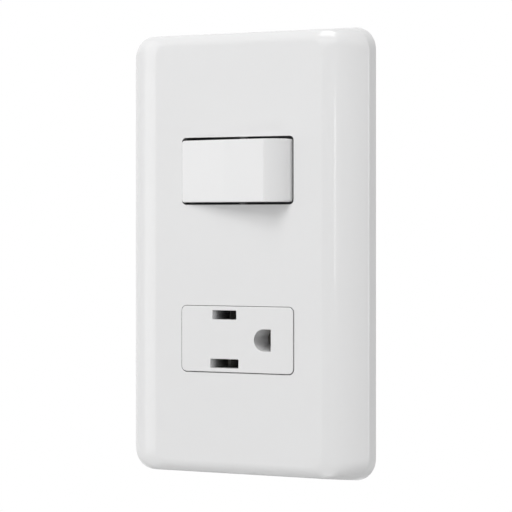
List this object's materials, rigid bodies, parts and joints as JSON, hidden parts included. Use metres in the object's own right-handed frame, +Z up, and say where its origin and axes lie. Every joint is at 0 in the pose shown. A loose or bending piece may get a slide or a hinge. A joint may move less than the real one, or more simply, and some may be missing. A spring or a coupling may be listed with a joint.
{
  "type": "switch and socket combination",
  "caption": "White wall plate with a rocker switch above a grounded socket outlet: clip-fitted cover over a frame and steel strap, with housings, contacts and screw terminals behind.",
  "frame": {"origin": "centre of the cover plate's flat front face", "axes": "+Z up, +X to the right as seen from the room, +Y into the wall, so the front faces -Y"},
  "size_m": [0.0716, 0.0358, 0.1166],
  "materials": {
    "white_plastic": "smooth glossy white",
    "grey_plastic": "matt grey moulding",
    "white_resin": "matt off-white moulding",
    "zinc_steel": "zinc-plated",
    "brass": "stamped strip",
    "copper": "stamped copper",
    "silver": "contact rivet",
    "spring_steel": "round wire"
  },
  "bodies": {
    "wall_unit": {"cover_plate": "white_plastic", "plate_frame": "grey_plastic", "mounting_strap": "zinc_steel", "frame_screw_upper": "zinc_steel", "frame_screw_lower": "zinc_steel", "box_screw_upper": "zinc_steel", "box_screw_lower": "zinc_steel", "switch_collar": "grey_plastic", "switch_housing": "grey_plastic", "common_terminal": "brass", "load_terminal": "brass", "fixed_contact": "silver", "common_screw": "zinc_steel", "load_screw": "zinc_steel", "common_clamp": "zinc_steel", "load_clamp": "zinc_steel", "socket_face": "white_plastic", "socket_housing": "white_resin", "line_contact": "brass", "neutral_contact": "brass", "ground_contact": "brass", "line_screw": "zinc_steel", "neutral_screw": "zinc_steel", "ground_screw": "zinc_steel", "line_clamp": "zinc_steel", "neutral_clamp": "zinc_steel", "ground_clamp": "zinc_steel"},
    "rocker": {"rocker": "white_plastic", "plunger_spring": "spring_steel"},
    "plunger": {"plunger": "white_resin"},
    "contact_arm": {"contact_arm": "copper", "moving_contact": "silver"}
  },
  "joints": [
    {"name": "rocker_tilt", "type": "hinge", "parent": "wall_unit", "child": "rocker", "pos_m": [0, 0.0034, 0.0216], "axis": [0, 0, 1], "range_deg": [0, 8]},
    {"name": "plunger_slide", "type": "slide", "parent": "rocker", "child": "plunger", "axis": [-0.0698, -0.9976, 0], "range_m": [0, 0.001], "stiffness_N_per_m": 300, "deforming": ["plunger_spring"]},
    {"name": "arm_rock", "type": "hinge", "parent": "wall_unit", "child": "contact_arm", "pos_m": [0, 0.0173, 0.0216], "axis": [0, 0, 1], "range_deg": [-16, 0]}
  ],
  "couplings": [
    {"joint": "arm_rock", "follows": "rocker_tilt", "ratio": -2}
  ]
}
